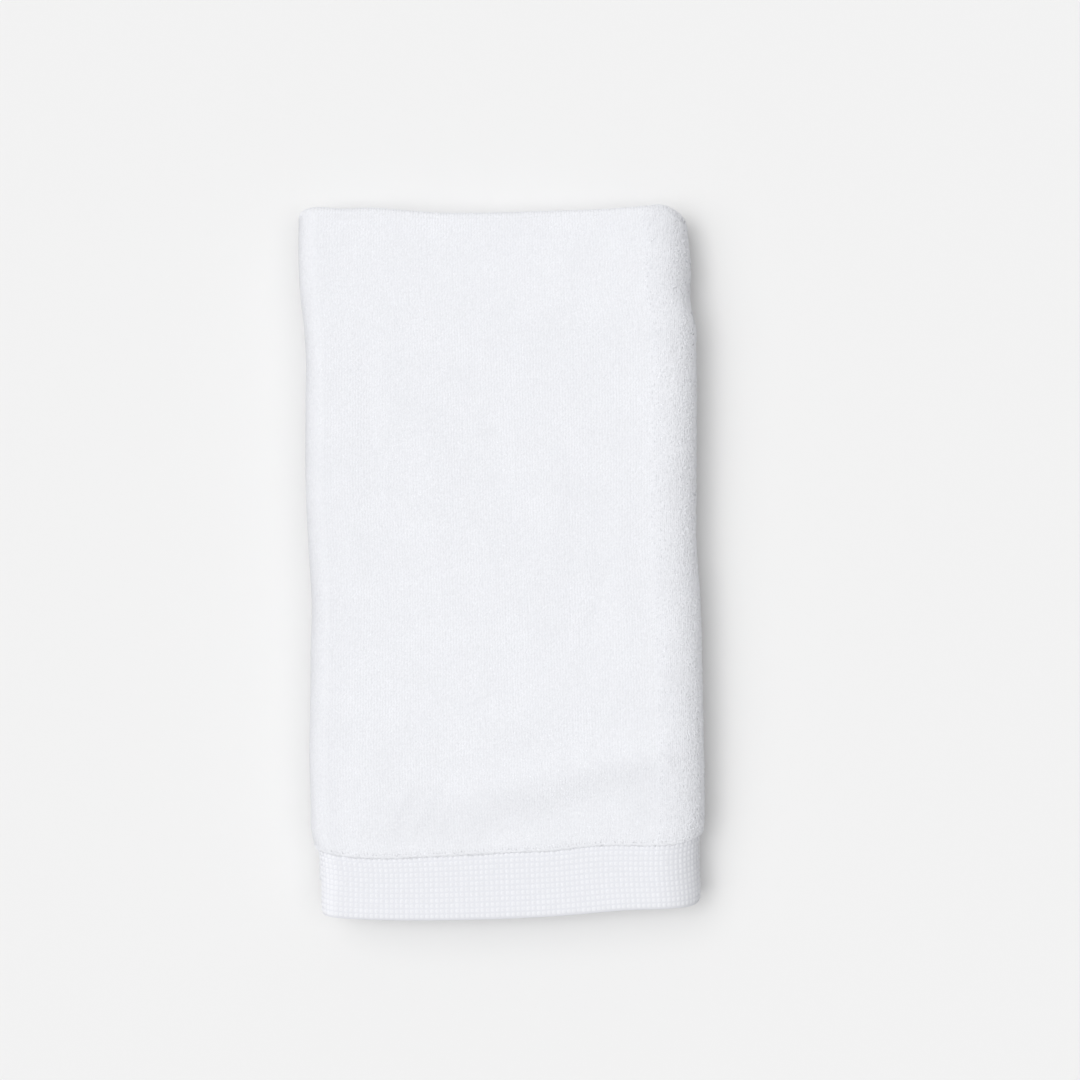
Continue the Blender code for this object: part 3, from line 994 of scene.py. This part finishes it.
def make_pile(material, random):
    """Loops wherever the towel's pile shows: the top ply with both side folds, and the noses of
    the folds that show at the back and the front."""
    tree = loop_tree(material)
    outer = PLY_PITCH + GROUND
    length = BACK_FOLD_Y - PILE_Y
    found = [
        pile_spots(column, section_width(column, outer), "top ply", length, GROUND, random)
        for column in ("left fold", "top", "right fold")
    ]
    spots = [np.concatenate(values) for values in zip(*found)]
    opened = ease(spots[0][:, 0], *OPENING) > random.uniform(0.02, 0.98, len(spots[0]))
    parts = []
    for label, chosen in (("pile_flat", ~opened), ("pile_open", opened)):
        places = np.flatnonzero(chosen)
        shares = math.ceil(len(places) / LOOPS_A_PIECE)
        for k, share in enumerate(np.array_split(places, shares), 1):
            parts.append((f"{label}_{k}", [values[share] for values in spots]))
    nose = math.pi * (PLY_TURN + GROUND)
    for row, lift in (("back fold", GROUND), ("front fold", -NOSE_GROUND)):
        found = [
            pile_spots(column, section_width(column, 0.0), row, nose, lift, random)
            for column, _ in ACROSS_STEPS
        ]
        spots = [np.concatenate(values) for values in zip(*found)]
        parts.append((f"pile_{row.replace(' ', '_')}", spots))
    parts.append(("pile_edge", pile_edge_spots(random)))
    parts.append(("pile_selvedges", selvedge_spots(random)))
    parts.append(("curls_right_fold", curl_spots(random)))
    pieces = []
    for name, spots in parts:
        sizes, softness = FLAT_LOOPS, SOFTNESS
        if name.startswith("pile_open"):
            sizes, softness = OPEN_LOOPS, OPEN_SOFTNESS
        if name.endswith("selvedges"):
            sizes = SELVEDGE_LOOPS
        if name.startswith("curls"):
            sizes, softness = CURLS, OPEN_SOFTNESS
        sky = sum(share for start, share in SKY.items() if name.startswith(start))
        pieces.append(grow(name, spots, tree, material, softness, sizes, sky))
    return pieces


def make_squares(material):
    """The border's raised squares, twelve rows from the hem up, over the top and both folds."""
    tree = square_tree(material)
    found = []
    for column in ("left fold", "top", "right fold"):
        count = round(section_width(column, PLY_PITCH + WOVEN) / SQUARE_ACROSS)
        i, j = np.meshgrid(np.arange(count), np.arange(SQUARE_ROWS))
        column_parts = (i.ravel() + 0.5) / count
        row_parts = (j.ravel() + BARE_AT_HEM + 0.5) / (SQUARE_ROWS + BARE_AT_HEM + BARE_AT_PILE)
        found.append(cloth_spots(column, column_parts, "border", row_parts, np.full(i.size, SUNK)))
    spots = [np.concatenate(values) for values in zip(*found)]
    return grow("border_squares", spots, tree, material, SQUARE_SOFTNESS, sky=SKY["border_squares"])


def centre_on_frame(pieces):
    """Moves the pieces' points together so that the cloth's box is over the solid's, and says by
    how much."""
    cloth = np.array([corner[:] for corner in pieces[0].bound_box])
    low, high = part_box(NODE)
    shift = (low + high) / 2 - Vector((cloth.min(0) + cloth.max(0)) / 2)
    shift.z = 0.0
    for piece in pieces:
        points = np.empty(len(piece.data.vertices) * 3, np.float32)
        piece.data.vertices.foreach_get("co", points)
        points = points.reshape(-1, 3) + np.array(shift, np.float32)
        piece.data.vertices.foreach_set("co", points.ravel())
        piece.data.update()
    return shift


def make_floor():
    """A plain pale floor, wide enough to fill any view."""
    material, tree, finish = new_material("matt_white_floor")
    finish.inputs["Base Color"].default_value = linear("#e8e8e8")
    finish.inputs["Roughness"].default_value = 1.0
    finish.inputs["Specular IOR Level"].default_value = 0.0
    half = 6.0
    corners = np.array(((-half, -half, 0), (half, -half, 0), (half, half, 0), (-half, half, 0)), float)
    floor = new_mesh("floor", corners, np.array(((0, 1, 2, 3),)), material)


def light_studio():
    """One broad soft light, stretched from overhead down to the left, and even light all round."""
    for k, (tilt, azimuth, strength) in enumerate(LAMPS, 1):
        light = bpy.data.lights.new(f"softbox_{k}", "SUN")
        light.energy = strength
        light.angle = math.radians(LAMP_SPREAD)
        lamp = bpy.data.objects.new(f"softbox_{k}", light)
        lamp.rotation_euler = (0.0, math.radians(tilt), math.radians(azimuth))
        bpy.context.scene.collection.objects.link(lamp)
    world = bpy.data.worlds.new("studio")
    world.use_nodes = True
    surround = world.node_tree.nodes["Background"]
    surround.inputs["Color"].default_value = linear("#ffffff")
    surround.inputs["Strength"].default_value = SURROUND
    bpy.context.scene.world = world


def place_camera(shift):
    """Straight above the towel, turned a little, as it was photographed."""
    camera = bpy.data.cameras.new("overhead")
    camera.sensor_width = SENSOR
    camera.lens = SENSOR * (CAMERA_HEIGHT - TOP_LEVEL - HALF_STRIP) / FRAME_WIDTH
    holder = bpy.data.objects.new("overhead", camera)
    holder.location = (CAMERA_AT[0] + shift.x, CAMERA_AT[1] + shift.y, CAMERA_HEIGHT)
    holder.rotation_euler = (0.0, 0.0, math.radians(CAMERA_ROLL))
    bpy.context.scene.collection.objects.link(holder)
    bpy.context.scene.camera = holder
    view = bpy.context.scene.view_settings
    view.view_transform = "Standard"
    view.look = "None"


def make_towel():
    """The cloth with its pile and its border, riding on the frame in place of the plain solid."""
    random = np.random.default_rng(SEED)
    loops = terry_loops()
    weave = woven_squares()
    cloth = make_cloth(terry_ground(), woven_ground())
    squares = make_squares(weave)
    pile = make_pile(loops, random)
    shift = centre_on_frame([cloth, squares, *pile])
    for piece in (cloth, squares, *pile):
        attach(piece, "root")
    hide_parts(NODE)
    return shift


make_floor()
light_studio()
place_camera(make_towel())
